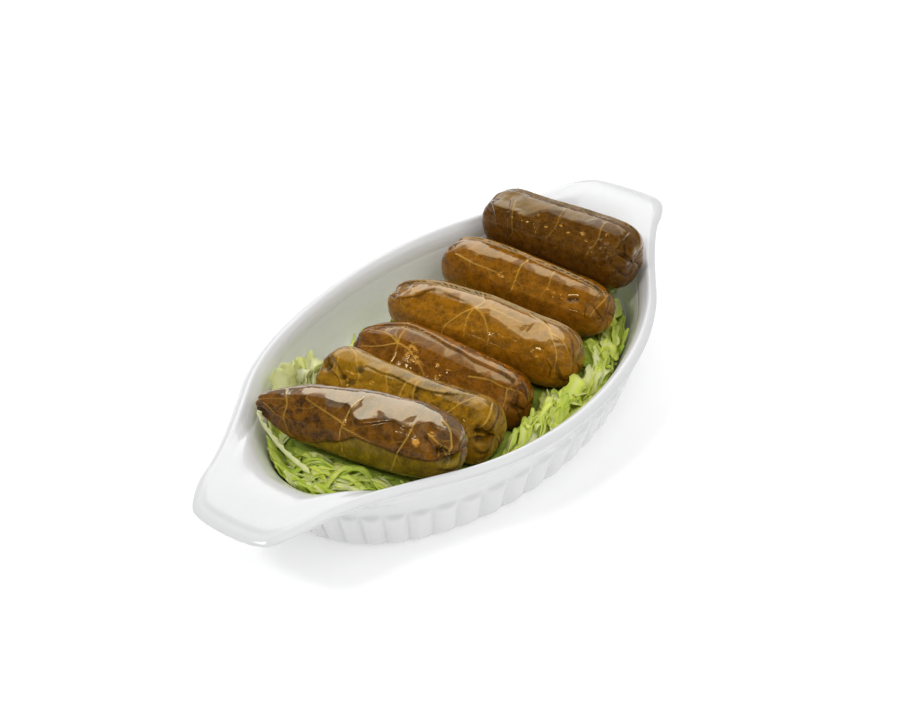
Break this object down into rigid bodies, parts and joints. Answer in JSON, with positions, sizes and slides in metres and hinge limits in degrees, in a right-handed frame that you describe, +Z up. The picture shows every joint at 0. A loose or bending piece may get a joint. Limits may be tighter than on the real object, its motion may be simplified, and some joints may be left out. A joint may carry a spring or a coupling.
{
  "type": "dish of stuffed vine leaves",
  "caption": "Stuffed vine leaf rolls side by side on shredded lettuce, in a ribbed oval baking dish with a flat tab handle at each end.",
  "frame": {"origin": "on the table, under the middle of the dish", "axes": "+X along the dish's length to the handle farther from the camera in the picture, +Y across the dish to its far wall, +Z up"},
  "size_m": [0.23, 0.1144, 0.0459],
  "materials": {
    "glaze": "smooth white gloss glaze",
    "lettuce": "pale green raw leaf, satin",
    "vine_leaf": "golden brown cooked leaf, wet with oil"
  },
  "bodies": {
    "root": {"dish": "glaze", "lettuce": "lettuce", "dolma_1": "vine_leaf", "dolma_2": "vine_leaf", "dolma_3": "vine_leaf", "dolma_4": "vine_leaf", "dolma_5": "vine_leaf", "dolma_6": "vine_leaf"}
  },
  "joints": []
}
